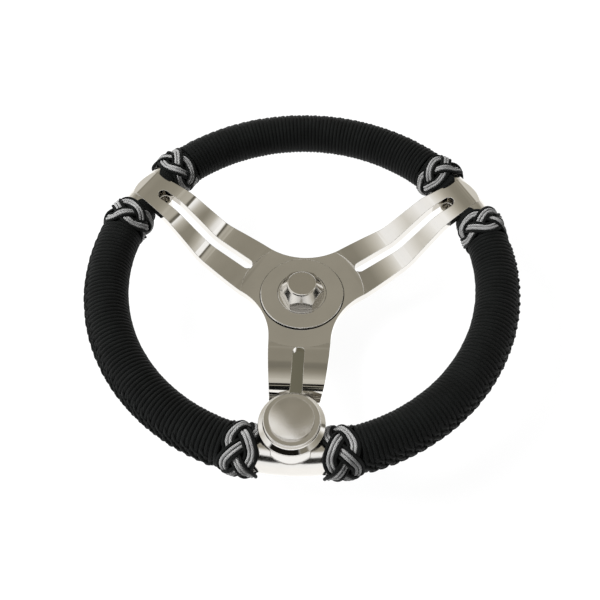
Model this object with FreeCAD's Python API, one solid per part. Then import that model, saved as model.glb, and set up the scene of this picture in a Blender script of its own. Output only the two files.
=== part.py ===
import FreeCAD, Part
import math
import os

from FreeCAD import Vector

# Three-spoke boat steering wheel with a cord-wrapped rim and a spinner knob.
# Millimetres. +Z runs along the wheel axis towards the helmsman, and the origin is
# on that axis at the back face of the hub. The spoke with the knob points to -Y.

# Rim
rim_radius = 167.2
tube_radius = 14.6
tube_wall = 2.0

# Spoke frame: one plate, bent twice along each spoke
spoke_count = 3
first_spoke_angle = -90.0
plate_thickness = 8.0
hub_flat_radius = 50.5
hub_disc_radius = 56.0
inner_bend_radius = 97.0
outer_bend_radius = 133.0
fold_reach = 0.8
nose_reach = 10.3
hub_flat_drop = 33.8
inner_bend_drop = 23.0
pad_slope = 16.5
crown_cover = 0.35
nose_cover = 1.2
bend_fillet = 28.0
fold_round = 5.0
hub_bend_fillet = 20.0
neck_radius = 46.0
neck_half_width = 27.2
inner_bend_half_width = 23.0
outer_bend_half_width = 18.5
pad_half_width = 14.4
nose_depth = 5.0
waist_radius = 40.2

# Slot along each spoke, ending over a tapped boss
slot_half_width = 5.0
slot_inner_radius = 60.5
knob_inset = 17.7
boss_radius = 6.2
boss_bottom_drop = 12.0
boss_bore_radius = 4.5
boss_bore_bottom_drop = 9.5

# Hub
hub_length = 38.0
hub_boss_radius = 24.0
hub_chamfer = 2.0
hub_flange_radius = 37.6
hub_flange_height = 2.1
hub_flange_round = 0.8
counterbore_depth = 2.6
shaft_radius = 9.525
shaft_taper = 1.0 / 12.0
key_width = 4.8
key_depth = 2.4

# Hub washer and nut
washer_radius = 21.9
washer_thickness = 2.5
washer_bore_radius = 6.7
washer_side_gap = 0.2
washer_edge_round = 0.4
nut_across_flats = 34.6
nut_hex_height = 6.0
nut_corner_round = 1.0
nut_height = 15.0
nut_crown_radius = 12.4
nut_crown_round = 2.6
nut_thread_radius = 5.75
nut_thread_depth = 11.0

# Cord wraps
cord_gap = 0.25
wrap_ridge_radius = 18.1
wrap_valley_radius = 17.1
wrap_pitch = 7.3
seam_half_angle = 15.0
seam_height = 1.1
seam_valley_height = 0.4

# Turk's head knots: three leads, five bights, woven over and under
knot_angle = 12.78
knot_half_width = 12.2
knot_leads = 3
knot_bights = 5
knot_under_radius = 15.4
knot_over_radius = 18.3
band_thickness = 2.5
black_band_width = 1.9
grey_band_width = 2.5
band_gap = 0.3
knot_end_gap = 0.3
level_half_angle = 22.0

# Spinner knob, on an axis parallel to the wheel axis
collar_radius = 10.0
collar_rise = 3.1
collar_tongue_depth = 3.0
collar_bore_gap = 0.2
stud_thread_radius = 4.45
stud_flange_radius = 9.0
stud_flange_height = 1.6
stud_radius = 5.0
stud_end_gap = 1.5
stud_end_round = 0.6
stud_edge_round = 0.4
stud_tap_depth = 9.0
thrust_washer_thickness = 0.8
thin_washer_round = 0.2
running_gap = 0.05
bush_flange_radius = 9.0
bush_flange_thickness = 1.0
bush_radius = 7.0
bush_length = 2.6
bush_spacing = 0.4
flange_side_gap = 0.6
top_washer_radius = 8.4
top_washer_thickness = 0.8
screw_radius = 2.1
screw_head_radius = 4.5
screw_head_height = 1.8
screw_length = 8.0
screw_head_round = 1.2
screw_end_round = 0.4
sleeve_radius = 13.0
sleeve_bottom_gap = 1.2
skirt_radius = 25.1
skirt_rise = 8.6
skirt_lip = 1.3
skirt_under_rise = 6.4
shoulder_radius = 21.0
shoulder_rise = 16.7
flare_round = 3.0
ledge_rise = 3.0
cove_round = 1.5
shell_round = 0.7
cap_radius = 16.7
cap_edge_height = 2.6
cap_dome_height = 2.2
cap_edge_round = 0.5
spigot_radius = 13.0
spigot_depth = 2.6
spigot_wall = 2.2
cap_cavity_height = 1.4

# Heights that follow from the sizes above
plate_top_z = hub_length + plate_thickness
rim_z = plate_top_z + hub_flat_drop
hub_top_z = plate_top_z + hub_flange_height
washer_seat_z = hub_top_z - counterbore_depth
nut_seat_z = washer_seat_z + washer_thickness
pad_gradient = math.tan(math.radians(pad_slope))
pad_depth = plate_thickness / math.cos(math.radians(pad_slope))


def pad_height(radius):
    """Height of the pad's upper face, a plane that just clears the top of the tube."""
    crown = (tube_radius + crown_cover) / math.cos(math.radians(pad_slope))
    return rim_z + crown + (radius - rim_radius) * pad_gradient


knob_radius_on_wheel = rim_radius - knob_inset
pad_z = pad_height(knob_radius_on_wheel)
nose_radius = rim_radius + nose_reach
boss_top_z = pad_height(knob_radius_on_wheel + boss_radius) - pad_depth
boss_bore_z = rim_z - boss_bore_bottom_drop
collar_top_z = pad_z + collar_rise
stud_flange_top_z = collar_top_z + stud_flange_height
thrust_top_z = stud_flange_top_z + thrust_washer_thickness
bush_bottom_z = thrust_top_z + running_gap
bush_seat_z = bush_bottom_z + bush_flange_thickness
upper_seat_z = bush_seat_z + 2.0 * bush_length + bush_spacing
bush_top_z = upper_seat_z + bush_flange_thickness
stud_top_z = bush_top_z + running_gap
screw_seat_z = stud_top_z + top_washer_thickness
shoulder_z = pad_z + shoulder_rise

SPOKES = range(spoke_count)
SPOKE_STEP = 360.0 / spoke_count
UP = Vector(0, 0, 1)
ORIGIN = Vector(0, 0, 0)

# Each knot by the spoke that it stands beside and the side of that spoke
KNOTS = (
    ("bottom_left", 0, -1),
    ("bottom_right", 0, 1),
    ("right_near", 1, -1),
    ("right_far", 1, 1),
    ("left_far", 2, -1),
    ("left_near", 2, 1),
)
WRAPS = (("right", 0), ("far", 1), ("left", 2))


def spoke_angle(index):
    return first_spoke_angle + index * SPOKE_STEP


def polar(radius, angle, z=0.0):
    turn = math.radians(angle)
    return Vector(radius * math.cos(turn), radius * math.sin(turn), z)


def turned_copy(shape, angle):
    copy = shape.copy()
    copy.rotate(ORIGIN, UP, angle)
    return copy


def side_plane(u, v):
    """Point of a section drawn in the XZ plane: u is a radius and v a height."""
    return Vector(u, 0, v)


def rounded_wire(corners, place=side_plane):
    """Closed wire through (u, v, radius) corners, each rounded by its own radius."""
    count = len(corners)
    entries = []
    exits = []
    middles = []
    for i in range(count):
        u, v, radius = corners[i]
        here = Vector(u, v, 0)
        before = Vector(corners[i - 1][0], corners[i - 1][1], 0)
        after = Vector(corners[(i + 1) % count][0], corners[(i + 1) % count][1], 0)
        back = (before - here).normalize()
        ahead = (after - here).normalize()
        half = back.getAngle(ahead) / 2.0
        if radius == 0.0 or abs(half - math.pi / 2.0) < 1e-6:
            entries.append(here)
            exits.append(here)
            middles.append(None)
            continue
        reach = radius / math.tan(half)
        bisector = (back + ahead).normalize()
        centre = here + bisector * (radius / math.sin(half))
        entries.append(here + back * reach)
        exits.append(here + ahead * reach)
        middles.append(centre - bisector * radius)
    edges = []
    for i in range(count):
        if middles[i] is not None:
            arc = [place(p.x, p.y) for p in (entries[i], middles[i], exits[i])]
            edges.append(Part.Arc(*arc).toShape())
        start = place(exits[i].x, exits[i].y)
        end = place(entries[(i + 1) % count].x, entries[(i + 1) % count].y)
        if start.distanceToPoint(end) > 1e-6:
            edges.append(Part.LineSegment(start, end).toShape())
    return Part.Wire(edges)


def turned(corners, axis_point=ORIGIN):
    """Solid of revolution about a vertical axis, from a section of radii and heights."""
    solid = Part.Face(rounded_wire(corners)).revolve(ORIGIN, UP, 360)
    solid.translate(Vector(axis_point.x, axis_point.y, 0))
    return solid


def rod(radius, bottom_z, top_z, axis_point=ORIGIN):
    base = Vector(axis_point.x, axis_point.y, bottom_z)
    return Part.makeCylinder(radius, top_z - bottom_z, base)


def spoke_profile():
    """Section of one spoke along its length: a bent plate of even thickness."""
    fold_radius = rim_radius + fold_reach
    nose_z = rim_z + math.sqrt(tube_radius ** 2 - nose_reach ** 2) + nose_cover
    line = [
        (0.0, plate_top_z, 0.0),
        (hub_flat_radius, plate_top_z, hub_bend_fillet),
        (inner_bend_radius, rim_z - inner_bend_drop, bend_fillet),
        (outer_bend_radius, pad_height(outer_bend_radius), bend_fillet),
        (fold_radius, pad_height(fold_radius), 0.0),
        (nose_radius, nose_z, 0.0),
    ]
    slopes = []
    for i in range(len(line) - 1):
        rise = line[i + 1][1] - line[i][1]
        slopes.append(math.atan2(rise, line[i + 1][0] - line[i][0]))
    top = []
    bottom = []
    for i, (u, v, fillet) in enumerate(line):
        before = slopes[max(i - 1, 0)]
        after = slopes[min(i, len(slopes) - 1)]
        middle = (before + after) / 2.0
        offset = plate_thickness / math.cos((after - before) / 2.0)
        lower = (u + offset * math.sin(middle), v - offset * math.cos(middle))
        rising = after > before
        top.append((u, v, fillet if rising or fillet == 0.0 else fillet + plate_thickness))
        bottom.append((*lower, fillet + plate_thickness if rising and fillet else fillet))
    top[-2] = (*line[-2][:2], fold_round)
    bottom[-1] = (nose_radius, bottom[-1][1], 0.0)
    return rounded_wire(top + bottom[::-1])


def spoke_bars():
    """The three bent bars, before their sides are cut to the outline."""
    bar_half_width = neck_half_width + tube_radius
    section = Part.Face(spoke_profile())
    section.translate(Vector(0, -bar_half_width, 0))
    bar = section.extrude(Vector(0, 2.0 * bar_half_width, 0))
    bars = [turned_copy(bar, spoke_angle(i)) for i in SPOKES]
    return bars[0].fuse(bars[1:])


def spoke_side(index, side):
    """Curved side of one spoke from its neck at the hub to its nose over the rim."""
    stations = (
        (neck_radius, neck_half_width),
        (inner_bend_radius, inner_bend_half_width),
        (outer_bend_radius, outer_bend_half_width),
        (nose_radius - nose_depth, pad_half_width),
    )
    points = [Vector(u, side * v, 0) for u, v in stations]
    curve = Part.BSplineCurve()
    curve.interpolate(points)
    return turned_copy(curve.toShape(), spoke_angle(index))


def frame_outline():
    """Plan of the spoke frame: noses, sides and the hollow waists between spokes."""
    edges = []
    for i in SPOKES:
        angle = spoke_angle(i)
        nose = [
            Vector(nose_radius - nose_depth, -pad_half_width, 0),
            Vector(nose_radius, 0, 0),
            Vector(nose_radius - nose_depth, pad_half_width, 0),
        ]
        edges.append(turned_copy(Part.Arc(*nose).toShape(), angle))
        edges.append(spoke_side(i, -1))
        edges.append(spoke_side(i, 1))
        neck_turn = math.degrees(math.atan2(neck_half_width, neck_radius))
        neck_reach = math.hypot(neck_radius, neck_half_width)
        waist = [
            polar(neck_reach, angle + neck_turn),
            polar(waist_radius, angle + SPOKE_STEP / 2.0),
            polar(neck_reach, angle + SPOKE_STEP - neck_turn),
        ]
        edges.append(Part.Arc(*waist).toShape())
    return Part.Wire(Part.sortEdges(edges)[0])


def spoke_blank():
    """The bent star before its slots and its hub hole are cut."""
    prism = Part.Face(frame_outline()).extrude(Vector(0, 0, rim_z + 2.0 * tube_radius))
    return spoke_bars().common(prism).removeSplitter().Solids[0]


def slot_cutter(index):
    """Long hole with round ends that runs out along a spoke as far as its boss."""
    inner = polar(slot_inner_radius, 0.0)
    outer = polar(knob_radius_on_wheel, 0.0)
    side = Vector(0, slot_half_width, 0)
    end = Vector(slot_half_width, 0, 0)
    edges = [
        Part.LineSegment(inner + side, outer + side).toShape(),
        Part.Arc(outer + side, outer + end, outer - side).toShape(),
        Part.LineSegment(outer - side, inner - side).toShape(),
        Part.Arc(inner - side, inner - end, inner + side).toShape(),
    ]
    slot = Part.Face(Part.Wire(edges)).extrude(Vector(0, 0, rim_z + 2.0 * tube_radius))
    return turned_copy(slot, spoke_angle(index))


def boss(index):
    """Round boss under the pad, at the outer end of a slot and let into the rim tube."""
    centre = polar(knob_radius_on_wheel, spoke_angle(index))
    return rod(boss_radius, rim_z - boss_bottom_drop, boss_top_z, centre)


def boss_bore(index):
    centre = polar(knob_radius_on_wheel, spoke_angle(index))
    return rod(boss_bore_radius, boss_bore_z, rim_z + 2.0 * tube_radius, centre)


def make_spoke_frame(blank):
    hub_hole = rod(hub_boss_radius, 0.0, rim_z)
    hub_facing = rod(hub_disc_radius, plate_top_z, rim_z)
    frame = blank.cut([hub_hole, hub_facing] + [slot_cutter(i) for i in SPOKES])
    frame = frame.fuse([boss(i) for i in SPOKES])
    return frame.cut([boss_bore(i) for i in SPOKES]).removeSplitter()


def rim_ring(radius):
    return Part.makeTorus(rim_radius, radius, Vector(0, 0, rim_z))


def make_rim_tube(blank):
    """Bent and welded tube, notched where the spokes and their bosses are let in."""
    tube = rim_ring(tube_radius).cut(rim_ring(tube_radius - tube_wall))
    return tube.cut([blank] + [boss(i) for i in SPOKES])


def make_hub():
    """Turned hub: boss behind the plate, flange on it and a counterbore for the washer."""
    bore_top_radius = shaft_radius - washer_seat_z * shaft_taper / 2.0
    body = turned([
        (shaft_radius, 0.0, 0.0),
        (hub_boss_radius - hub_chamfer, 0.0, 0.0),
        (hub_boss_radius, hub_chamfer, 0.0),
        (hub_boss_radius, plate_top_z, 0.0),
        (hub_flange_radius, plate_top_z, 0.0),
        (hub_flange_radius, hub_top_z, hub_flange_round),
        (washer_radius + washer_side_gap, hub_top_z, 0.0),
        (washer_radius + washer_side_gap, washer_seat_z, 0.0),
        (bore_top_radius, washer_seat_z, 0.0),
    ])
    keyway = Part.makeBox(key_width, shaft_radius + key_depth, washer_seat_z)
    keyway.translate(Vector(-key_width / 2.0, 0, 0))
    return body.cut(keyway)


def make_hub_washer():
    return turned([
        (washer_bore_radius, washer_seat_z, 0.0),
        (washer_radius, washer_seat_z, 0.0),
        (washer_radius, nut_seat_z, washer_edge_round),
        (washer_bore_radius, nut_seat_z, 0.0),
    ])


def make_hub_nut():
    """Hexagon cap nut: the hexagon rises into a cone with a flat round crown."""
    corner_radius = nut_across_flats / 2.0 / math.cos(math.radians(30.0))
    top_z = nut_seat_z + nut_height
    points = [polar(corner_radius, 60.0 * i, nut_seat_z) for i in range(7)]
    prism = Part.Face(Part.makePolygon(points)).extrude(Vector(0, 0, nut_height))
    crown = turned([
        (0.0, nut_seat_z, 0.0),
        (corner_radius, nut_seat_z, 0.0),
        (corner_radius, nut_seat_z + nut_hex_height, nut_corner_round),
        (nut_crown_radius, top_z, nut_crown_round),
        (0.0, top_z, 0.0),
    ])
    thread = rod(nut_thread_radius, nut_seat_z, nut_seat_z + nut_thread_depth)
    return prism.common(crown).cut(thread)


def wrap_section(angle, radius, bump):
    """Round section of the wrap at one angle on the rim, with the hitched seam outside."""
    half = math.radians(seam_half_angle)
    left = Vector(radius * math.cos(half), 0, radius * math.sin(half))
    right = Vector(radius * math.cos(half), 0, -radius * math.sin(half))
    seam = Part.Arc(right, Vector(radius + bump, 0, 0), left).toShape()
    round_side = Part.Arc(left, Vector(-radius, 0, 0), right).toShape()
    wire = Part.Wire([seam, round_side])
    wire.translate(Vector(rim_radius, 0, rim_z))
    wire.rotate(ORIGIN, UP, angle)
    return wire


def make_rim_wrap(index):
    """Cord wound round the tube between two spokes: one ridge for each pair of turns."""
    knot_edge = knot_angle + math.degrees((knot_half_width + knot_end_gap) / rim_radius)
    start = spoke_angle(index) + knot_edge
    end = spoke_angle(index) + SPOKE_STEP - knot_edge
    ridges = round(math.radians(end - start) * rim_radius / wrap_pitch)
    step = (end - start) / (2 * ridges)
    sections = []
    for i in range(2 * ridges + 1):
        ridge = i % 2 == 1
        radius = wrap_ridge_radius if ridge else wrap_valley_radius
        bump = seam_height if ridge else seam_valley_height
        sections.append(wrap_section(start + i * step, radius, bump))
    return Part.makeLoft(sections, True, True).cut(rim_ring(tube_radius + cord_gap))


def knot_point(knot_centre, around, along, radius):
    """Point near the rim: around is its angle on the tube, along its arc on the rim."""
    turn = math.degrees(along / rim_radius)
    reach = rim_radius + radius * math.cos(around)
    return polar(reach, knot_centre + turn, rim_z + radius * math.sin(around))


def weave_stations():
    """One bight of a lead, as angles along its wave with the layer that it lies in.

    A lead crosses the other two at 30, 150, 210 and 330 degrees of its wave. It is
    over, under, over and under there, and level for a while before and after each.
    """
    stations = []
    for crossing, layer in ((30.0, 1.0), (150.0, 0.0), (210.0, 1.0), (330.0, 0.0)):
        stations.append((crossing - level_half_angle, layer))
        stations.append((crossing + level_half_angle, layer))
    stations.append((90.0, 0.5))
    stations.append((270.0, 0.5))
    return sorted(stations)


def knot_band(knot_centre, offset, width):
    """Endless flat band of cord, woven three times round the tube beside the others."""
    total_width = 2.0 * black_band_width + grey_band_width + 2.0 * band_gap
    swing = knot_half_width - total_width / 2.0
    mean_radius = (knot_under_radius + knot_over_radius + band_thickness) / 2.0
    pace = mean_radius * knot_leads / knot_bights
    sections = []
    for bight in range(knot_bights):
        for local, layer in weave_stations():
            wave = math.radians(360.0 * bight + local)
            slope = swing * math.cos(wave)
            length = math.hypot(slope, pace)
            inner = knot_under_radius + layer * (knot_over_radius - knot_under_radius)
            corners = []
            for side, radius in ((-1, inner), (1, inner), (1, inner + band_thickness),
                                 (-1, inner + band_thickness)):
                across = offset + side * width / 2.0
                around = wave * knot_leads / knot_bights - across * slope / length / mean_radius
                along = swing * math.sin(wave) + across * pace / length
                corners.append(knot_point(knot_centre, around, along, radius))
            sections.append(corners)
    return faceted_ring(sections)


def faceted_ring(sections):
    """Closed solid of flat facets through a ring of four-cornered sections."""
    faces = []
    for i, here in enumerate(sections):
        ahead = sections[(i + 1) % len(sections)]
        for k in range(4):
            m = (k + 1) % 4
            faces.append(Part.Face(Part.makePolygon([here[k], here[m], ahead[m], here[k]])))
            faces.append(Part.Face(Part.makePolygon([here[k], ahead[m], ahead[k], here[k]])))
    solid = Part.Solid(Part.Shell(faces))
    if solid.Volume < 0:
        solid.reverse()
    return solid


def make_black_cord(knot_centre):
    """Both passes of the black cord, one at each edge of the woven lane."""
    offset = (black_band_width + grey_band_width) / 2.0 + band_gap
    return Part.makeCompound([
        knot_band(knot_centre, -offset, black_band_width),
        knot_band(knot_centre, offset, black_band_width),
    ])


def make_grey_cord(knot_centre):
    """The grey cord, doubled along the middle of the woven lane."""
    return knot_band(knot_centre, 0.0, grey_band_width)


def knob_axis():
    return polar(knob_radius_on_wheel, spoke_angle(0))


def make_knob_collar(frame):
    """Seat between the sloping pad and the stud's flange, keyed into the slot."""
    collar = rod(collar_radius, pad_z - collar_tongue_depth, collar_top_z, knob_axis())
    bore = rod(stud_thread_radius + collar_bore_gap, 0.0, collar_top_z, knob_axis())
    return collar.cut([frame, bore]).Solids[0]


def make_knob_stud():
    """Stud: threaded end in the boss, clamping flange and a plain journal."""
    stud = turned([
        (0.0, boss_bore_z + stud_end_gap, 0.0),
        (stud_thread_radius, boss_bore_z + stud_end_gap, stud_end_round),
        (stud_thread_radius, collar_top_z, 0.0),
        (stud_flange_radius, collar_top_z, 0.0),
        (stud_flange_radius, stud_flange_top_z, stud_edge_round),
        (stud_radius, stud_flange_top_z, 0.0),
        (stud_radius, stud_top_z, stud_edge_round),
        (0.0, stud_top_z, 0.0),
    ], knob_axis())
    return stud.cut(rod(screw_radius, stud_top_z - stud_tap_depth, stud_top_z, knob_axis()))


def make_knob_thrust_washer():
    return turned([
        (stud_radius + running_gap, stud_flange_top_z, 0.0),
        (stud_flange_radius, stud_flange_top_z, thin_washer_round),
        (stud_flange_radius, thrust_top_z, thin_washer_round),
        (stud_radius + running_gap, thrust_top_z, 0.0),
    ], knob_axis())


def make_knob_bush(flange_z, seat_z, end_z):
    """Flanged plain bush between the stud's journal and the bore of the shell."""
    return turned([
        (stud_radius + running_gap, flange_z, 0.0),
        (bush_flange_radius, flange_z, 0.0),
        (bush_flange_radius, seat_z, 0.0),
        (bush_radius, seat_z, 0.0),
        (bush_radius, end_z, 0.0),
        (stud_radius + running_gap, end_z, 0.0),
    ], knob_axis())


def make_knob_top_washer():
    return turned([
        (screw_radius + running_gap, stud_top_z, 0.0),
        (top_washer_radius, stud_top_z, thin_washer_round),
        (top_washer_radius, screw_seat_z, thin_washer_round),
        (screw_radius + running_gap, screw_seat_z, 0.0),
    ], knob_axis())


def make_knob_screw():
    """Low button-head screw that holds the top washer on the stud."""
    return turned([
        (0.0, screw_seat_z - screw_length, 0.0),
        (screw_radius, screw_seat_z - screw_length, screw_end_round),
        (screw_radius, screw_seat_z, 0.0),
        (screw_head_radius, screw_seat_z, 0.0),
        (screw_head_radius, screw_seat_z + screw_head_height, screw_head_round),
        (0.0, screw_seat_z + screw_head_height, 0.0),
    ], knob_axis())


def make_knob_shell():
    """Turned shell: sleeve round the bushes, sloping skirt and a flat shoulder."""
    pocket_radius = bush_flange_radius + flange_side_gap
    bottom_z = collar_top_z + sleeve_bottom_gap
    skirt_z = pad_z + skirt_rise
    return turned([
        (pocket_radius, bottom_z, 0.0),
        (sleeve_radius, bottom_z, shell_round),
        (sleeve_radius, pad_z + skirt_under_rise, flare_round),
        (skirt_radius - skirt_lip, skirt_z - skirt_lip, shell_round),
        (skirt_radius, skirt_z - skirt_lip / 2.0, shell_round),
        (skirt_radius, skirt_z + skirt_lip / 2.0, shell_round),
        (shoulder_radius, skirt_z + ledge_rise, cove_round),
        (shoulder_radius, shoulder_z, shell_round),
        (spigot_radius, shoulder_z, 0.0),
        (spigot_radius, upper_seat_z, 0.0),
        (bush_radius, upper_seat_z, 0.0),
        (bush_radius, bush_seat_z, 0.0),
        (pocket_radius, bush_seat_z, 0.0),
    ], knob_axis())


def make_knob_cap():
    """Domed cap on the shoulder, with a spigot pressed into the shell."""
    edge_z = shoulder_z + cap_edge_height
    crown_z = edge_z + cap_dome_height
    disc = rod(cap_radius, shoulder_z, crown_z, knob_axis())
    dome_radius = (cap_radius ** 2 + cap_dome_height ** 2) / (2.0 * cap_dome_height)
    centre = knob_axis() + Vector(0, 0, crown_z - dome_radius)
    cap = disc.common(Part.makeSphere(dome_radius, centre))
    rim_edges = [edge for edge in cap.Edges if abs(edge.BoundBox.ZMin - edge_z) < 0.01]
    cap = cap.makeFillet(cap_edge_round, rim_edges[:1])
    spigot = rod(spigot_radius, shoulder_z - spigot_depth, shoulder_z, knob_axis())
    cavity_radius = spigot_radius - spigot_wall
    cavity = rod(cavity_radius, shoulder_z - spigot_depth, shoulder_z + cap_cavity_height, knob_axis())
    return cap.fuse(spigot).cut(cavity).removeSplitter()


def build():
    """Every piece by its name."""
    blank = spoke_blank()
    frame = make_spoke_frame(blank)
    pieces = {
        "spoke_frame": frame,
        "rim_tube": make_rim_tube(blank),
        "hub": make_hub(),
        "hub_washer": make_hub_washer(),
        "hub_nut": make_hub_nut(),
    }
    for name, index in WRAPS:
        pieces["rim_wrap_" + name] = make_rim_wrap(index)
    for name, index, side in KNOTS:
        centre = spoke_angle(index) + side * knot_angle
        pieces["knot_" + name + "_black_cord"] = make_black_cord(centre)
        pieces["knot_" + name + "_grey_cord"] = make_grey_cord(centre)
    pieces["knob_collar"] = make_knob_collar(frame)
    pieces["knob_stud"] = make_knob_stud()
    pieces["knob_thrust_washer"] = make_knob_thrust_washer()
    lower_end_z = bush_seat_z + bush_length
    upper_end_z = upper_seat_z - bush_length
    pieces["knob_lower_bush"] = make_knob_bush(bush_bottom_z, bush_seat_z, lower_end_z)
    pieces["knob_upper_bush"] = make_knob_bush(bush_top_z, upper_seat_z, upper_end_z)
    pieces["knob_top_washer"] = make_knob_top_washer()
    pieces["knob_screw"] = make_knob_screw()
    pieces["knob_shell"] = make_knob_shell()
    pieces["knob_cap"] = make_knob_cap()
    return pieces


os.makedirs("parts", exist_ok=True)
for piece_name, piece in build().items():
    piece.exportStep("parts/" + piece_name + ".step")
    solids = len(piece.Solids)
    print(piece_name, solids, "solids,", round(piece.Volume / 1000.0, 2), "cm3, valid", piece.isValid())
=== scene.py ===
import math
import random

import bpy
import numpy as np
from mathutils import Matrix, Vector


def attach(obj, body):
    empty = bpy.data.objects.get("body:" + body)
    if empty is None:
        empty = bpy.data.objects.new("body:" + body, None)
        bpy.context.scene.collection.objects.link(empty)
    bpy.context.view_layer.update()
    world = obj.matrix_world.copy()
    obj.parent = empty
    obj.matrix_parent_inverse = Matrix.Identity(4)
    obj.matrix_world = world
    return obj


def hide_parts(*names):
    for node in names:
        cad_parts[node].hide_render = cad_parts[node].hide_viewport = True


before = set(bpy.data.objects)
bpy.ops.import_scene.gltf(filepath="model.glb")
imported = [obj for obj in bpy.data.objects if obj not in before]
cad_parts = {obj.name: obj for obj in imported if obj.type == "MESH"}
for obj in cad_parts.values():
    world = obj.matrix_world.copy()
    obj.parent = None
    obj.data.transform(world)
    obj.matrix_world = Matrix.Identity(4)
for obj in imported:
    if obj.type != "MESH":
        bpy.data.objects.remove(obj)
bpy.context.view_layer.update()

# All lengths are in metres and all angles in degrees, unless a comment says otherwise

# Centre line of the rim's tube, and the spokes' directions
RIM_RADIUS = 0.1672
RIM_Z = 0.0798
SPOKE_ANGLES = (-90.0, 30.0, 150.0)
SPOKE_PITCH = 120.0

# Wrap: angle from the spoke to its first turn, number of turns, then the cord's outer radius
# on the tube and half its width
WRAP_START = 17.12
CORD_TURNS = 68
CORD_TOP = 0.0181
CORD_HALF = 0.00186
TURN_STEP = math.radians(SPOKE_PITCH - 2.0 * WRAP_START) / CORD_TURNS
# How unevenly the turns lie: rise and fall from turn to turn, slack along a turn, lean as a
# share of a turn, and how far all sink and how deep the valleys between them go
TURN_LIFT = 0.00010
TURN_SLACK = 0.00005
TURN_LEAN = 0.10
TURN_SINK = 0.00008
VALLEY_DEPTH = 0.0013

# Seam: how unevenly its hitches lie, along the wrap as a share of a hitch and outwards
HITCH_SLIDE = 0.06
HITCH_LIFT = 0.00012

# Knot: half its length, its leads and bights, and the strands' middles at the bottom and top
KNOT_HALF = 0.0136
KNOT_LEADS = 3
KNOT_BIGHTS = 5
KNOT_LOW = 0.0166
KNOT_HIGH = 0.0199
# Strands: radius, then in radii the distance between neighbours, and how far inside the
# knot's ends the middle of the four turns back
STRAND_RADIUS = 0.00128
STRAND_PITCH = 2.04
WEAVE_INSET = 3.30
# Rise and fall of a strand as a share of its travel, share of it lost where the strand turns
# back, height of its ripple, and radians by which each mm of offset moves a crossing
STRAND_SWING = 0.289
STRAND_TUCK = 0.50
STRAND_RIPPLE = 0.00008
CROSSING_SHIFT = math.radians(3.2)

# Sleeve under a knot: reach past the knot's middle towards the wrap, towards the spoke, and
# towards the spoke on the inner side of the tube, which spans twice SLEEVE_HALF round it
SLEEVE_WRAP_END = 0.0155
SLEEVE_KNOT_END = 0.0108
SLEEVE_SPOKE_END = 0.0200
SLEEVE_HALF = 64.0
SLEEVE_SOFT = 14.0
# Its radius on the tube and at its ends, height and spacing of its turns, and its swell
# beyond the knot, with the place and run of that
SLEEVE_RADIUS = 0.0158
SLEEVE_END_RADIUS = 0.01468
SLEEVE_RIDGE = 0.00035
SLEEVE_TURN = 0.0036
SLEEVE_SWELL = 0.0013
SWELL_START = 0.006
SWELL_RUN = 0.005

# Thickness of an open cord's tips as a share of the cord's
END_SCALE = 0.35

# Painted shade at the foot of the hub's flange, a thin black ring in place of the dark line there:
# ring's radius and height, half its width and half its thickness, and the angle between its points
JOINT_RADIUS = 0.03775
JOINT_Z = 0.04600
JOINT_HALF_WIDTH = 0.00055
JOINT_HALF_HEIGHT = 0.00035
JOINT_STEP = 3.0

# Camera of the photograph, worked out from the wheel itself: its distance from the middle of
# the rim, its height above the horizon, the wheel's turn under it, the small swings of its
# view, its focal length and image size in pixels, and the width of its sensor in mm
CAMERA_DISTANCE = 0.64251
CAMERA_ELEVATION = 54.91
WHEEL_TURN = 3.73
CAMERA_PAN = 0.160
CAMERA_TILT = -2.139
CAMERA_ROLL = 1.35
FOCAL_PIXELS = 741.2
IMAGE_PIXELS = 600.0
SENSOR = 36.0


# Shapes

def rim_point(arc, around, radius):
    """Point near the rim: arc is its angle on the rim, around its angle on the tube."""
    reach = RIM_RADIUS + radius * math.cos(around)
    return Vector((reach * math.cos(arc), reach * math.sin(arc),
                   RIM_Z + radius * math.sin(around)))


def rim_outward(arc, around):
    """Direction that leads straight away from the tube there, half a metre long."""
    return rim_point(arc, around, 1.0) - rim_point(arc, around, 0.5)


def mesh_object(name, verts, faces, uvs, material):
    """Smooth piece of cord, whose uvs run along the cord and across it."""
    mesh = bpy.data.meshes.new(name)
    mesh.from_pydata(verts, [], faces)
    mesh.polygons.foreach_set("use_smooth", [True] * len(mesh.polygons))
    layer = mesh.uv_layers.new(name="along")
    loops = np.zeros(len(mesh.loops), dtype=np.int64)
    mesh.loops.foreach_get("vertex_index", loops)
    layer.data.foreach_set("uv", np.asarray(uvs, dtype=np.float32)[loops].ravel())
    mesh.materials.append(material)
    mesh.update()
    thing = bpy.data.objects.new(name, mesh)
    bpy.context.scene.collection.objects.link(thing)
    return thing


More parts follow.
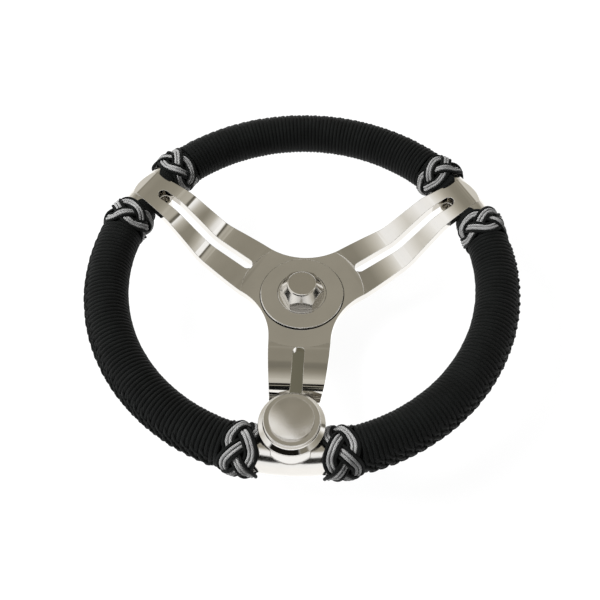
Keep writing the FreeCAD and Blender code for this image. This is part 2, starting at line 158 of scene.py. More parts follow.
def add_tube(shape, points, normals, half_width, half_height, sides, closed, weave=1.0):
    """Cord of oval section through points, each with the direction that is its top.

    weave is the length of cord on which its threads repeat. An open cord's ends are thinner.
    """
    verts, faces, uvs = shape
    count = len(points)
    base = len(verts)
    run = 0.0
    for i, point in enumerate(points):
        before = points[i - 1] if (closed or i > 0) else points[i]
        after = points[(i + 1) % count] if (closed or i < count - 1) else points[i]
        ahead = (after - before).normalized()
        top = (normals[i] - ahead * normals[i].dot(ahead)).normalized()
        side = ahead.cross(top)
        if i:
            run += (point - points[i - 1]).length
        end_scale = END_SCALE if not closed and i in (0, count - 1) else 1.0
        for k in range(sides):
            turn = 2.0 * math.pi * k / sides
            offset = side * (half_width * math.cos(turn)) + top * (half_height * math.sin(turn))
            verts.append(point + offset * end_scale)
            uvs.append((run / weave, abs(k / sides * 2.0 - 1.0)))
    rings = count if closed else count - 1
    for i in range(rings):
        for k in range(sides):
            a = base + i * sides + k
            b = base + i * sides + (k + 1) % sides
            c = base + ((i + 1) % count) * sides + (k + 1) % sides
            d = base + ((i + 1) % count) * sides + k
            faces.append((a, b, c, d))
    if not closed:
        faces.append(tuple(base + k for k in range(sides))[::-1])
        faces.append(tuple(base + (count - 1) * sides + k for k in range(sides)))


def ring_faces(base, rings, around_count):
    """Faces between neighbouring rings of points, the first of which is at base."""
    faces = []
    for i in range(rings - 1):
        near = base + i * around_count
        far = near + around_count
        for k in range(around_count):
            m = (k + 1) % around_count
            faces.append((near + k, far + k, far + m, near + m))
    return faces


def make_wrap(name, start, material, seed):
    """Cord wound round the tube, turn by turn, with its ends tucked under the knots."""
    rng = random.Random(seed)
    samples = 7
    around_count = 96
    first = math.radians(start)
    verts, faces, uvs = [], [], []
    lifts = [rng.uniform(-TURN_LIFT, TURN_LIFT) for _ in range(CORD_TURNS + 1)]
    phases = [rng.uniform(0.0, 2.0 * math.pi) for _ in range(CORD_TURNS + 1)]
    rings = CORD_TURNS * samples + 1
    for i in range(rings):
        turn = min(i // samples, CORD_TURNS - 1)
        across = i / samples - turn
        across = 0.5 - 0.5 * math.cos(math.pi * across) if 0.0 < across < 1.0 else across
        offset = (across - 0.5) * 2.0
        for k in range(around_count):
            around = 2.0 * math.pi * k / around_count
            pitch = TURN_STEP * (RIM_RADIUS + CORD_TOP * math.cos(around))
            reach = max(CORD_HALF, pitch / 2.0 * 1.02)
            height = math.sqrt(max(reach * reach - (offset * pitch / 2.0) ** 2, 0.0)) - reach
            slack = TURN_SLACK * math.sin(3.0 * around + phases[turn])
            if across in (0.0, 1.0):
                slack = 0.0
                lift = (lifts[max(turn - 1, 0)] + lifts[turn]) / 2.0
            else:
                lift = lifts[turn]
            radius = CORD_TOP - TURN_SINK + lift + slack + max(height, -VALLEY_DEPTH)
            lean = TURN_LEAN * TURN_STEP * math.sin(around + 0.6)
            verts.append(rim_point(first + (turn + across) * TURN_STEP + lean, around, radius))
            uvs.append((around / (2.0 * math.pi) * 34.0, turn + across))
    faces += ring_faces(0, rings, around_count)
    return mesh_object(name, verts, faces, uvs, material)


# The four cords of one hitch of the seam: half the cord's width, then for each point of its
# path the angle on the tube, the share of the hitch's length and the height over the wrap
HITCH_PATHS = (
    (0.00180, ((22.0, -0.10, 0.0002), (13.0, 0.18, 0.0008),
               (4.0, 0.50, 0.0011), (-5.0, 0.86, 0.0002))),
    (0.00175, ((-23.0, 0.35, 0.0002), (-14.0, 0.66, 0.0008),
               (-5.0, 0.98, 0.0009), (5.0, 1.32, -0.0002))),
    (0.00135, ((47.0, -0.12, -0.0006), (36.0, 0.06, 0.0001),
               (26.0, 0.36, 0.0004), (18.0, 0.86, -0.0002))),
    (0.00135, ((-48.0, 0.30, -0.0006), (-37.0, 0.50, 0.0001),
               (-27.0, 0.84, 0.0004), (-19.0, 1.34, -0.0002))),
)


def make_seam(name, start, material, seed):
    """Row of hitches along the outside of a wrap, one for every two turns of the cord."""
    rng = random.Random(seed)
    first = math.radians(start)
    step = 2.0 * TURN_STEP
    shape = ([], [], [])
    for hitch in range(CORD_TURNS // 2 - 1):
        for half_width, path in HITCH_PATHS:
            slide = rng.uniform(-HITCH_SLIDE, HITCH_SLIDE)
            lift = rng.uniform(-HITCH_LIFT, HITCH_LIFT)
            points, normals = [], []
            for i in range(len(path) * 3 - 2):
                low = path[i // 3]
                high = path[min(i // 3 + 1, len(path) - 1)]
                mix = (i % 3) / 3.0
                angle, shift, rise = [low[j] + (high[j] - low[j]) * mix for j in range(3)]
                angle = math.radians(angle)
                arc = first + (hitch + 0.2 + shift + slide) * step
                points.append(rim_point(arc, angle, CORD_TOP - half_width * 0.75 + rise + lift))
                normals.append(rim_outward(arc, angle))
            add_tube(shape, points, normals, half_width, half_width * 0.95, sides=8,
                     closed=False, weave=0.003)
    return mesh_object(name, *shape, material)


def knot_strand(centre, offset, phase, seed):
    """Points along one strand of a knot, with their outward directions.

    offset is the strand's place beside the others, phase the angle at which the weave starts.
    """
    swing = KNOT_HALF - WEAVE_INSET * STRAND_RADIUS
    mean = (KNOT_LOW + KNOT_HIGH) / 2.0
    pace = mean * KNOT_LEADS / KNOT_BIGHTS
    points, normals = [], []
    rings = 200
    ripple = random.Random(seed).uniform(0.0, 6.0)
    for i in range(rings):
        wave = 2.0 * math.pi * KNOT_BIGHTS * i / rings
        slope = swing * math.cos(wave)
        length = math.hypot(slope, pace)
        shifted = wave + CROSSING_SHIFT * offset * 1000.0 * math.cos(wave)
        level = 0.5 - STRAND_SWING * (math.sin(2.0 * shifted) + math.sin(4.0 * shifted))
        tucked = STRAND_TUCK * math.sin(wave) ** 8
        radius = KNOT_LOW + (KNOT_HIGH - KNOT_LOW) * min(max(level, 0.0), 1.0) * (1.0 - tucked)
        radius += STRAND_RIPPLE * math.sin(wave * 2.0 + ripple)
        around = (math.radians(phase) + wave * KNOT_LEADS / KNOT_BIGHTS
                  - offset * slope / length / mean)
        along = swing * math.sin(wave) + offset * pace / length
        arc = math.radians(centre) + along / RIM_RADIUS
        points.append(rim_point(arc, around, radius))
        normals.append(rim_outward(arc, around))
    return points, normals


def add_sleeve(shape, centre, side, inner_from):
    """Cord under a knot, run on towards the spoke on the inner side of the tube.

    side is the knot's side of the spoke, inner_from the angle on the tube where that starts.
    """
    verts, faces, uvs = shape
    base = len(verts)
    around_count = 72
    rows = 34
    for row in range(rows + 1):
        share = row / rows
        for k in range(around_count):
            turn = 360.0 * k / around_count
            from_inner = abs(turn - inner_from - SLEEVE_HALF)
            inside = min(max((SLEEVE_HALF + SLEEVE_SOFT - from_inner) / SLEEVE_SOFT, 0.0), 1.0)
            end = SLEEVE_KNOT_END + (SLEEVE_SPOKE_END - SLEEVE_KNOT_END) * inside
            along = -SLEEVE_WRAP_END + (SLEEVE_WRAP_END + end) * share
            ridge = SLEEVE_RIDGE * math.cos(2.0 * math.pi * along / SLEEVE_TURN)
            swell = SLEEVE_SWELL * inside * min(max((along - SWELL_START) / SWELL_RUN, 0.0), 1.0)
            radius = SLEEVE_RADIUS + ridge + swell if 0 < row < rows else SLEEVE_END_RADIUS
            arc = math.radians(centre) - side * along / RIM_RADIUS
            verts.append(rim_point(arc, math.radians(turn), radius))
            uvs.append((k * 0.5, share * 8.0))
    for face in ring_faces(base, rows + 1, around_count):
        faces.append(face if side < 0 else face[::-1])


def make_knot(name, centre, lanes, phase, material, seed, sleeve=None):
    """Two strands of a knot, in lanes beside its middle, and the sleeve under it if given."""
    shape = ([], [], [])
    for number, lane in enumerate(lanes):
        offset = lane * (STRAND_RADIUS * STRAND_PITCH)
        points, normals = knot_strand(centre, offset, phase, seed + number)
        add_tube(shape, points, normals, STRAND_RADIUS, STRAND_RADIUS * 1.06, sides=10,
                 closed=True, weave=0.0024)
    if sleeve is not None:
        add_sleeve(shape, centre, *sleeve)
    return mesh_object(name, *shape, material)


def make_flange_shade_ring(name, material):
    """Flat black ring round the foot of the hub's flange: painted shade along the joint."""
    points, tops = [], []
    for i in range(round(360.0 / JOINT_STEP)):
        turn = math.radians(JOINT_STEP * i)
        points.append(Vector((JOINT_RADIUS * math.cos(turn), JOINT_RADIUS * math.sin(turn),
                              JOINT_Z)))
        tops.append(Vector((0.0, 0.0, 1.0)))
    shape = ([], [], [])
    add_tube(shape, points, tops, JOINT_HALF_WIDTH, JOINT_HALF_HEIGHT, sides=8, closed=True)
    return mesh_object(name, *shape, material)


# Materials

def new_material(name):
    """New material with its node tree and its shader."""
    material = bpy.data.materials.new(name)
    material.use_nodes = True
    tree = material.node_tree
    return material, tree, tree.nodes["Principled BSDF"]


def object_place(tree):
    """Place on the object, which textures follow."""
    return tree.nodes.new("ShaderNodeTexCoord").outputs["Object"]


def noise(tree, place, scale, detail, roughness=0.5):
    """Soft noise between 0 and 1, with scale in waves per metre."""
    node = tree.nodes.new("ShaderNodeTexNoise")
    tree.links.new(place, node.inputs["Vector"])
    node.inputs["Scale"].default_value = scale
    node.inputs["Detail"].default_value = detail
    node.inputs["Roughness"].default_value = roughness
    return node.outputs["Fac"]


def ranged(tree, source, low, high, out_low, out_high):
    """Value that runs evenly from out_low to out_high while source runs from low to high."""
    node = tree.nodes.new("ShaderNodeMapRange")
    tree.links.new(source, node.inputs["Value"])
    node.inputs["From Min"].default_value = low
    node.inputs["From Max"].default_value = high
    node.inputs["To Min"].default_value = out_low
    node.inputs["To Max"].default_value = out_high
    return node.outputs["Result"]


def maths(tree, operation, first, second=None, third=None):
    """Result of one operation on sockets or numbers."""
    node = tree.nodes.new("ShaderNodeMath")
    node.operation = operation
    for socket, value in zip(node.inputs, (first, second, third)):
        if isinstance(value, (int, float)):
            socket.default_value = value
        elif value is not None:
            tree.links.new(value, socket)
    return node.outputs["Value"]


def soft_step(tree, value, start, end):
    """Smooth rise from 0 at start to 1 at end; end may be the lower of the two."""
    rising = end > start
    step = ranged(tree, value, min(start, end), max(start, end),
                  0.0 if rising else 1.0, 1.0 if rising else 0.0)
    step.node.interpolation_type = "SMOOTHSTEP"
    return step


def between(tree, value, low, high, soft):
    """1 from low to high and 0 outside them, with soft ends."""
    return maths(tree, "MULTIPLY", soft_step(tree, value, low - soft, low + soft),
                 soft_step(tree, value, high + soft, high - soft))


def mixed(tree, share, first, second, blend="MIX"):
    """Mix of two colours, each a socket or red, green, blue and alpha."""
    node = tree.nodes.new("ShaderNodeMix")
    node.data_type = "RGBA"
    node.blend_type = blend
    for socket, value in (("Factor", share), ("A", first), ("B", second)):
        if isinstance(value, (float, list, tuple)):
            node.inputs[socket].default_value = value
        else:
            tree.links.new(value, node.inputs[socket])
    return node.outputs["Result"]


def mixed_shader(tree, share, first, second):
    """Mix of two shaders: all of the first at a share of 0 and all of the second at 1."""
    node = tree.nodes.new("ShaderNodeMixShader")
    if isinstance(share, float):
        node.inputs["Fac"].default_value = share
    else:
        tree.links.new(share, node.inputs["Fac"])
    tree.links.new(first, node.inputs[1])
    tree.links.new(second, node.inputs[2])
    return node.outputs["Shader"]


def tinted(tree, share, colour, darker, low=0.0, high=1.0):
    """Colour that falls to a share of itself, darker, where a texture is low."""
    ramp = tree.nodes.new("ShaderNodeValToRGB")
    tree.links.new(share, ramp.inputs["Fac"])
    dark, light = ramp.color_ramp.elements
    dark.color = (*[channel * darker for channel in colour], 1.0)
    light.color = (*colour, 1.0)
    dark.position = low
    light.position = high
    return ramp.outputs["Color"]


def bumped(tree, height, distance, strength=1.0, normal=None):
    """Normal of a surface that a texture raises by up to distance."""
    node = tree.nodes.new("ShaderNodeBump")
    tree.links.new(height, node.inputs["Height"])
    node.inputs["Strength"].default_value = strength
    node.inputs["Distance"].default_value = distance
    if normal is not None:
        tree.links.new(normal, node.inputs["Normal"])
    return node.outputs["Normal"]


# How far the pressed and polished spokes lean from their plain bends: distance from the hub's
# axis along the spoke and lean there, which is never more than LEAN_LIMIT
LEANS = ((0.0, 0.0), (0.050, 0.0), (0.056, -6.1), (0.076, 0.4), (0.0909, 5.4), (0.094, 0.3),
         (0.097, -2.1), (0.099, -3.2), (0.1019, -7.6), (0.105, -6.3), (0.108, -3.3),
         (0.115, 3.7), (0.122, -2.3), (0.1276, -7.5), (0.1305, -7.8), (0.133, -5.1),
         (0.137, 1.1), (0.1397, 5.5), (0.146, 3.5), (0.152, 1.0), (0.158, -1.5),
         (0.165, -5.0), (0.172, 0.0), (0.200, 0.0))
LEAN_LIMIT = 10.0


def leaning_normal(tree, place, normal):
    """Normal of a polished spoke, whose bends run into one another in soft curves."""
    reach_end = LEANS[-1][0]
    for angle in SPOKE_ANGLES:
        turn = math.radians(angle)
        along = tree.nodes.new("ShaderNodeVectorMath")
        along.operation = "DOT_PRODUCT"
        tree.links.new(place, along.inputs[0])
        along.inputs[1].default_value = (math.cos(turn), math.sin(turn), 0.0)
        curve = tree.nodes.new("ShaderNodeFloatCurve")
        bend = curve.mapping.curves[0]
        for reach, lean in LEANS[1:-1]:
            bend.points.new(reach / reach_end, 0.5 + lean / (2.0 * LEAN_LIMIT))
        bend.points[0].location = (0.0, 0.5)
        bend.points[len(bend.points) - 1].location = (1.0, 0.5)
        for point in bend.points:
            point.handle_type = "VECTOR"
        curve.mapping.update()
        tree.links.new(maths(tree, "DIVIDE", along.outputs["Value"], reach_end),
                       curve.inputs["Value"])
        lean = maths(tree, "MULTIPLY", maths(tree, "SUBTRACT", curve.outputs["Value"], 0.5),
                     math.radians(2.0 * LEAN_LIMIT))
        leaned = tree.nodes.new("ShaderNodeVectorRotate")
        tree.links.new(normal, leaned.inputs["Vector"])
        leaned.inputs["Axis"].default_value = (math.sin(turn), -math.cos(turn), 0.0)
        tree.links.new(lean, leaned.inputs["Angle"])
        normal = leaned.outputs["Vector"]
    return normal


def steel_material(name, colour, roughness, wave_height, grain=None, edge=0.0006, leans=False):
    """Polished or satin steel: faint haze, very slight waves and softly broken edges.

    roughness is a low and a high value. grain gives turned steel its fine rings: how close
    they lie, their depth and their axis.
    """
    material, tree, shader = new_material(name)
    link = tree.links.new
    shader.inputs["Metallic"].default_value = 1.0
    place = object_place(tree)
    haze = noise(tree, place, 26.0, 4.0, 0.6)
    link(ranged(tree, haze, 0.35, 0.7, *roughness), shader.inputs["Roughness"])
    link(tinted(tree, haze, colour, 0.93, 0.3, 0.62), shader.inputs["Base Color"])
    rounded = tree.nodes.new("ShaderNodeBevel")
    rounded.samples = 6
    rounded.inputs["Radius"].default_value = edge
    normal = rounded.outputs["Normal"]
    if leans:
        normal = leaning_normal(tree, place, normal)
    normal = bumped(tree, noise(tree, place, 38.0, 1.0, 0.4), wave_height, normal=normal)
    if grain is not None:
        closeness, depth, axis = grain
        shifted = tree.nodes.new("ShaderNodeVectorMath")
        shifted.operation = "SUBTRACT"
        link(place, shifted.inputs[0])
        shifted.inputs[1].default_value = axis
        rings = tree.nodes.new("ShaderNodeTexWave")
        rings.wave_type = "RINGS"
        rings.rings_direction = "Z"
        rings.inputs["Scale"].default_value = closeness
        rings.inputs["Distortion"].default_value = 3.0
        rings.inputs["Detail"].default_value = 3.0
        rings.inputs["Detail Scale"].default_value = 6.0
        link(shifted.outputs["Vector"], rings.inputs["Vector"])
        normal = bumped(tree, rings.outputs["Fac"], depth, normal=normal)
    link(normal, shader.inputs["Normal"])
    return material


def cord_material(name, dark, light, roughness, sheen, shine):
    """Braided cord: a fine herringbone of threads along each turn, with soft sheen."""
    material, tree, shader = new_material(name)
    link = tree.links.new
    shader.inputs["Roughness"].default_value = roughness
    shader.inputs["Specular IOR Level"].default_value = shine
    shader.inputs["Sheen Weight"].default_value = sheen
    shader.inputs["Sheen Roughness"].default_value = 0.45
    uv = tree.nodes.new("ShaderNodeUVMap")
    uv.uv_map = "along"
    split = tree.nodes.new("ShaderNodeSeparateXYZ")
    link(uv.outputs["UV"], split.inputs["Vector"])
    ridges = []
    for slant in (3.0, -3.0):
        turns = maths(tree, "MULTIPLY_ADD", split.outputs["Y"], slant, split.outputs["X"])
        ridges.append(maths(tree, "SINE", maths(tree, "MULTIPLY", turns, 2.0 * math.pi)))
    woven = maths(tree, "MAXIMUM", *ridges)
    place = object_place(tree)
    threads = mixed(tree, ranged(tree, woven, -0.4, 1.0, 0.0, 1.0), (*dark, 1.0), (*light, 1.0))
    wear = ranged(tree, noise(tree, place, 55.0, 2.0), 0.3, 0.7, 0.78, 1.12)
    shade = tree.nodes.new("ShaderNodeCombineColor")
    for channel in ("Red", "Green", "Blue"):
        link(wear, shade.inputs[channel])
    faded = mixed(tree, 1.0, threads, shade.outputs["Color"], "MULTIPLY")
    link(faded, shader.inputs["Base Color"])
    normal = bumped(tree, woven, 0.00018, 0.7)
    normal = bumped(tree, noise(tree, place, 900.0, 3.0, 0.6), 0.00010, 0.5, normal)
    link(normal, shader.inputs["Normal"])
    return material


def plastic_material(name, colour):
    """Matt plastic with a fine grain."""
    material, tree, shader = new_material(name)
    link = tree.links.new
    grain = noise(tree, object_place(tree), 1400.0, 2.0)
    link(ranged(tree, grain, 0.3, 0.7, 0.42, 0.58), shader.inputs["Roughness"])
    link(tinted(tree, grain, colour, 0.9), shader.inputs["Base Color"])
    link(bumped(tree, grain, 0.00003), shader.inputs["Normal"])
    return material


# Axes of the turned pieces
HUB_AXIS = (0.0, 0.0, 0.0)
KNOB_AXIS = (0.0, -0.1495, 0.1)

STEEL = (0.655, 0.635, 0.60)
SATIN_STEEL = (0.63, 0.605, 0.565)
NUT_STEEL = (0.57, 0.545, 0.50)
BLACK_THREADS = ((0.0009, 0.0010, 0.0010), (0.0088, 0.0096, 0.0092))
GREY_THREADS = ((0.13, 0.13, 0.13), (0.36, 0.36, 0.355))
PALE_PLASTIC = (0.78, 0.77, 0.72)

spoke_steel = steel_material("spoke_steel", STEEL, (0.03, 0.07), 0.00010, leans=True)
tube_steel = steel_material("tube_steel", STEEL, (0.17, 0.24), 0.00004)
turned_steel = steel_material("turned_steel", STEEL, (0.05, 0.10), 0.00002,
                              grain=(900.0, 0.000002, HUB_AXIS))
nut_steel = steel_material("nut_steel", NUT_STEEL, (0.12, 0.20), 0.00006, edge=0.0012)
knob_steel = steel_material("knob_steel", STEEL, (0.05, 0.09), 0.00002,
                            grain=(1100.0, 0.000002, KNOB_AXIS))
satin = steel_material("satin_steel", SATIN_STEEL, (0.20, 0.30), 0.00003,
                       grain=(1500.0, 0.000004, KNOB_AXIS))
black_cord = cord_material("black_braid", *BLACK_THREADS, roughness=0.6, sheen=0.010, shine=0.08)
grey_cord = cord_material("grey_braid", *GREY_THREADS, roughness=0.5, sheen=0.08, shine=0.25)
bush = plastic_material("bush_plastic", PALE_PLASTIC)

NODE_MATERIALS = {
    "spoke_frame": spoke_steel,
    "rim_tube": tube_steel,
    "hub": turned_steel,
    "hub_washer": turned_steel,
    "hub_nut": nut_steel,
    "knob_collar": satin,
    "knob_stud": satin,
    "knob_thrust_washer": bush,
    "knob_lower_bush": bush,
    "knob_upper_bush": bush,
    "knob_top_washer": satin,
    "knob_screw": satin,
    "knob_shell": knob_steel,
    "knob_cap": satin,
}
for node_name, finish in NODE_MATERIALS.items():
    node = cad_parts[node_name]
    if not node.material_slots:
        node.data.materials.append(finish)
    for slot in node.material_slots:
        slot.material = finish


# Cord wraps and knots

# First seeds of the wraps, of their seams and of the knots' black and grey strands, and the
# seeds set aside for each knot
WRAP_SEED = 11
SEAM_SEED = 21
BLACK_SEED = 40
GREY_SEED = 90
KNOT_SEEDS = 7

for index, wrap in enumerate(("right", "far", "left")):
    start_angle = SPOKE_ANGLES[index] + WRAP_START
    turns = make_wrap("cord_wrap_" + wrap, start_angle, black_cord, WRAP_SEED + index)
    seam = make_seam("cord_seam_" + wrap, start_angle, black_cord, SEAM_SEED + index)
    for piece in (turns, seam):
        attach(piece, "wheel")
        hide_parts("rim_wrap_" + wrap)

# Painted shade: thin black ring at the flange's foot, made in the black cord's material
flange_shade_ring = make_flange_shade_ring("flange_shade_ring", black_cord)
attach(flange_shade_ring, "wheel")

# Name, number of the spoke, side of it seen along the rim's angle, angle from the spoke to the
# knot, angle on the tube where the weave starts, and the same for the sleeve's longer part
KNOTS = (
    ("bottom_left", 0, -1, 12.5, 4.0, 112.0),
    ("bottom_right", 0, 1, 12.5, 34.0, 112.0),
    ("right_near", 1, -1, 12.5, 0.0, 112.0),
    ("right_far", 1, 1, 11.9, 36.0, 92.0),
    ("left_far", 2, -1, 11.9, 36.0, 92.0),
    ("left_near", 2, 1, 12.5, 0.0, 112.0),
)
for number, (knot, spoke, side, away, phase, inner_from) in enumerate(KNOTS):
    knot_centre = SPOKE_ANGLES[spoke] + side * away
    outer = make_knot("knot_" + knot + "_black", knot_centre, (-1.5, 1.5), phase, black_cord,
                      BLACK_SEED + KNOT_SEEDS * number, (side, inner_from))
    inner = make_knot("knot_" + knot + "_grey", knot_centre, (-0.5, 0.5), phase, grey_cord,
                      GREY_SEED + KNOT_SEEDS * number)
    for piece, cord in ((outer, "black_cord"), (inner, "grey_cord")):
        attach(piece, "wheel")
        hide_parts("knot_" + knot + "_" + cord)


# Studio

# Brightness of the room as the metal sees it: round the horizon by azimuth, and up the wall
# behind the wheel by elevation. ROOM_WHITE is the strength that its ramps reach at most
ROOM_ROUND = ((-180, 1.0), (-150, 1.4), (-60, 1.4), (-24, 0.55), (-6, 0.38), (3, 0.38),
              (9, 0.72), (14, 1.35), (19, 1.50), (20.5, 0.6), (22, 0.14), (26, 0.2),
              (28.5, 0.55), (32, 0.68), (37, 0.64), (42, 0.50), (48, 0.41), (62, 0.38),
              (76, 0.38), (87, 0.43), (100, 0.43), (106, 0.33), (115, 0.34), (126, 0.52),
              (132, 0.72), (137, 0.92), (144, 1.28), (152, 1.36), (165, 1.32), (172, 1.12),
              (177, 0.92), (180, 1.0))
ROOM_UP = ((-3, 0.4), (-1, 0.05), (1, 0.7), (2.5, 0.04), (4.5, 0.35), (6.5, 0.10), (8.5, 0.45),
           (10.5, 0.5), (11.5, 0.012), (18, 0.012), (19, 0.74), (24, 0.80), (27, 0.66),
           (31, 0.36), (34, 0.25), (36.5, 0.27), (38, 0.36), (45, 0.36), (49, 0.52),
           (54, 0.44), (60, 0.43))
ROOM_WHITE = 1.5
# The room's colours at full strength, beige up to BEIGE_LEVEL and white WHITE_RUN above it
BEIGE = (1.0, 0.935, 0.77)
BEIGE_TO_WHITE = (0.0, 0.075, 0.26)
BEIGE_LEVEL = 0.36
WHITE_RUN = 1.04
# Where the wall begins and ends, the softness of its sides, and its softness above and below
# its top
WALL_AZIMUTHS = (74.0, 110.0)
WALL_SOFT = 4.0
WALL_TOP = 46.0
WALL_ABOVE = 8.0
WALL_BELOW = 2.0
# Panels that lie in front of that: azimuths, elevations, softness of both, brightness
PANELS = (
    ((-40.0, 76.0), (-90.0, 22.0), 4.0, 8.0, 0.86),
    ((108.0, 240.0), (-90.0, 22.0), 4.0, 8.0, 0.86),
    ((-152.0, -66.0), (24.0, 58.0), 3.0, 3.0, 0.012),
    ((-66.0, -40.0), (24.0, 58.0), 3.0, 3.0, 0.30),
)
# Even light that all but the metal's reflections get from the room: strength and grey
ROOM_LIGHT = 0.25
ROOM_GREY = (0.8, 0.8, 0.8, 1.0)

# Floor: half its width and its height, its brightness to the camera and to the metal, and
# how much of it glows to the camera; the rest takes the shadow
FLOOR_HALF = 6.0
FLOOR_Z = -0.0002
FLOOR_WHITE = 1.05
FLOOR_MIRRORED = ROOM_WHITE * 0.95
FLOOR_GLOW = 0.90
# Painted shade: strip of darker floor colour where the slot of the lower spoke looks down: middle,
# half its size, colour, and how far its soft edges reach outwards and inwards
SHADE_X = -0.003
SHADE_Y = -0.0600
SHADE_HALF_X = 0.0150
SHADE_HALF_Y = 0.0390
PAINTED_SHADE_COLOUR = (0.125, 0.116, 0.082, 1.0)
SHADE_SOFT_X = (0.004, 0.002)
SHADE_SOFT_Y = (0.006, 0.004)
WHITE = (1.0, 1.0, 1.0, 1.0)


def camera_frame():
    """Place and directions of the camera that took the photograph."""
    elevation = math.radians(CAMERA_ELEVATION)
    eye = Vector((0.0, -math.cos(elevation), math.sin(elevation))) * CAMERA_DISTANCE
    ahead = -eye.normalized()
    right = Vector((1.0, 0.0, 0.0))
    up = right.cross(ahead)
    pan = Matrix.Rotation(math.radians(CAMERA_PAN), 3, up)
    ahead, right = pan @ ahead, pan @ right
    tilt = Matrix.Rotation(math.radians(CAMERA_TILT), 3, right)
    ahead, up = tilt @ ahead, tilt @ up
    roll = Matrix.Rotation(math.radians(CAMERA_ROLL), 3, ahead)
    right, up = roll @ right, roll @ up
    turn = Matrix.Rotation(math.radians(WHEEL_TURN), 3, "Z")
    eye, ahead, right, up = [turn @ v for v in (eye, ahead, right, up)]
    eye.z += RIM_Z
    matrix = Matrix((right, up, -ahead)).transposed().to_4x4()
    matrix.translation = eye
    return matrix


lens = bpy.data.cameras.new("camera")
lens.sensor_width = SENSOR
lens.lens = FOCAL_PIXELS / IMAGE_PIXELS * SENSOR
lens.clip_start = 0.02
camera = bpy.data.objects.new("camera", lens)
camera.matrix_world = camera_frame()
bpy.context.scene.collection.objects.link(camera)
bpy.context.scene.camera = camera


def shade_share(tree, value, middle, half, soft):
    """1 within half of the middle and 0 outside, with a soft edge."""
    away = maths(tree, "ABSOLUTE", maths(tree, "SUBTRACT", value, middle))
    return soft_step(tree, away, half + soft[0], half - soft[1])


def emission(tree, colour, strength):
    """Plain glow of the colour that a socket gives."""
    node = tree.nodes.new("ShaderNodeEmission")
    tree.links.new(colour, node.inputs["Color"])
    node.inputs["Strength"].default_value = strength
    return node.outputs["Emission"]


def floor_material():
    """Floor, white but for a strip of painted shade, that keeps a light shadow and looks white to
    the camera and the metal.
    """
    material = bpy.data.materials.new("floor_white")
    material.use_nodes = True
    tree = material.node_tree
    link = tree.links.new
    tree.nodes.clear()
    where = tree.nodes.new("ShaderNodeSeparateXYZ")
    link(object_place(tree), where.inputs["Vector"])
    # Painted shade: a soft strip of darker colour mixed into the floor, seen by the camera and the
    # metal alike
    shade = maths(tree, "MULTIPLY",
                  shade_share(tree, where.outputs["X"], SHADE_X, SHADE_HALF_X, SHADE_SOFT_X),
                  shade_share(tree, where.outputs["Y"], SHADE_Y, SHADE_HALF_Y, SHADE_SOFT_Y))
    tone = mixed(tree, shade, WHITE, PAINTED_SHADE_COLOUR)
    matt = tree.nodes.new("ShaderNodeBsdfDiffuse")
    matt.inputs["Color"].default_value = (0.6, 0.6, 0.6, 1.0)
    shadowed = tree.nodes.new("ShaderNodeBsdfDiffuse")
    link(tone, shadowed.inputs["Color"])
    to_camera = mixed_shader(tree, FLOOR_GLOW, shadowed.outputs["BSDF"],
                             emission(tree, tone, FLOOR_WHITE))
    rays = tree.nodes.new("ShaderNodeLightPath")
    seen = mixed_shader(tree, rays.outputs["Is Camera Ray"], matt.outputs["BSDF"], to_camera)
    seen = mixed_shader(tree, rays.outputs["Is Glossy Ray"], seen,
                        emission(tree, tone, FLOOR_MIRRORED))
    out = tree.nodes.new("ShaderNodeOutputMaterial")
    link(seen, out.inputs["Surface"])
    return material


def make_floor(half, height):
    """Wide flat floor just below the wheel."""
    corners = [(-half, -half, height), (half, -half, height),
               (half, half, height), (-half, half, height)]
    mesh = bpy.data.meshes.new("floor")
    mesh.from_pydata(corners, [], [(0, 1, 2, 3)])
    mesh.materials.append(floor_material())
    ground = bpy.data.objects.new("floor", mesh)
    bpy.context.scene.collection.objects.link(ground)


make_floor(FLOOR_HALF, FLOOR_Z)


def room_tone(level):
    """Warm for the beige parts of the room and plain for its whites, as a share of ROOM_WHITE."""
    plain = min(max((level - BEIGE_LEVEL) / WHITE_RUN, 0.0), 1.0)
    shares = [beige + change * plain for beige, change in zip(BEIGE, BEIGE_TO_WHITE)]
    return [level * share / ROOM_WHITE for share in shares] + [1.0]


def room_ramp(tree, value, stops, limit):
    """Brightness that follows an angle, which runs from -limit to limit."""
    ramp = tree.nodes.new("ShaderNodeValToRGB")
    elements = ramp.color_ramp.elements
    while len(elements) < len(stops):
        elements.new(0.5)
    for element, (angle, level) in zip(elements, stops):
        element.position = (angle + limit) / (2.0 * limit)
        element.color = room_tone(level)
    tree.links.new(maths(tree, "MULTIPLY_ADD", value, 0.5 / limit, 0.5), ramp.inputs["Fac"])
    return ramp.outputs["Color"]


def background(tree, colour, strength):
    """Light of the world, its colour and strength each a socket or plain."""
    node = tree.nodes.new("ShaderNodeBackground")
    for socket, value in (("Color", colour), ("Strength", strength)):
        if isinstance(value, (float, tuple)):
            node.inputs[socket].default_value = value
        else:
            tree.links.new(value, node.inputs[socket])
    return node.outputs["Background"]


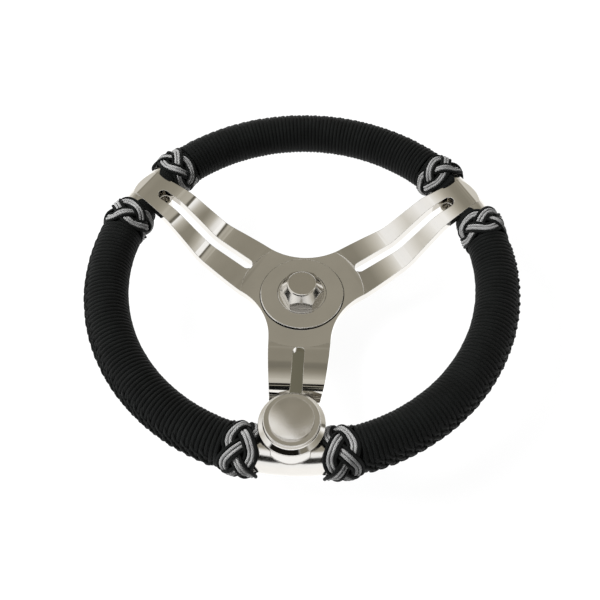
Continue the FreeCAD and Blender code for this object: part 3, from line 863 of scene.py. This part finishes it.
def studio_world():
    """Even light and a white backdrop; reflections alone show a room of light and dark panels."""
    world = bpy.data.worlds.new("studio")
    bpy.context.scene.world = world
    world.use_nodes = True
    sky = world.node_tree
    link = sky.links.new
    sky.nodes.clear()
    way = sky.nodes.new("ShaderNodeTexCoord").outputs["Generated"]
    split = sky.nodes.new("ShaderNodeSeparateXYZ")
    link(way, split.inputs["Vector"])
    x, y, z = split.outputs
    to_degrees = 180.0 / math.pi
    azimuth = maths(sky, "MULTIPLY", maths(sky, "ARCTAN2", y, x), to_degrees)
    elevation = maths(sky, "MULTIPLY", maths(sky, "ARCSINE", z), to_degrees)
    wall = maths(sky, "MULTIPLY", between(sky, azimuth, *WALL_AZIMUTHS, WALL_SOFT),
                 soft_step(sky, elevation, WALL_TOP + WALL_ABOVE, WALL_TOP - WALL_BELOW))
    colour = mixed(sky, wall, room_ramp(sky, azimuth, ROOM_ROUND, 180.0),
                   room_ramp(sky, elevation, ROOM_UP, 90.0))
    for azimuths, elevations, soft_across, soft_up, level in PANELS:
        panel = maths(sky, "MULTIPLY", between(sky, azimuth, *azimuths, soft_across),
                      between(sky, elevation, *elevations, soft_up))
        colour = mixed(sky, panel, colour, room_tone(level))
    uneven = ranged(sky, noise(sky, way, 2.6, 2.0), 0.3, 0.7, 0.95 * ROOM_WHITE, 1.04 * ROOM_WHITE)
    rays = sky.nodes.new("ShaderNodeLightPath")
    seen = mixed_shader(sky, rays.outputs["Is Camera Ray"],
                        background(sky, ROOM_GREY, ROOM_LIGHT), background(sky, WHITE, 1.0))
    seen = mixed_shader(sky, rays.outputs["Is Glossy Ray"], seen,
                        background(sky, colour, uneven))
    out = sky.nodes.new("ShaderNodeOutputWorld")
    link(seen, out.inputs["Surface"])


studio_world()


def make_lamp(name, place, aim, size, power):
    """Soft rectangular lamp that neither the camera nor the metal sees."""
    data = bpy.data.lights.new(name, "AREA")
    data.shape = "RECTANGLE"
    data.size, data.size_y = size
    data.energy = power
    thing = bpy.data.objects.new(name, data)
    thing.location = place
    way = Vector(aim) - Vector(place)
    thing.rotation_euler = way.to_track_quat("-Z", "Y").to_euler()
    thing.visible_camera = False
    thing.visible_glossy = False
    bpy.context.scene.collection.objects.link(thing)


WHEEL_MIDDLE = (0.0, 0.0, 0.05)
make_lamp("lamp_left", (-1.1, -0.1, 1.3), WHEEL_MIDDLE, (0.8, 0.8), 46.0)
make_lamp("lamp_back", (0.1, 1.2, 1.2), WHEEL_MIDDLE, (0.9, 0.6), 9.0)

bpy.context.scene.view_settings.view_transform = "Standard"
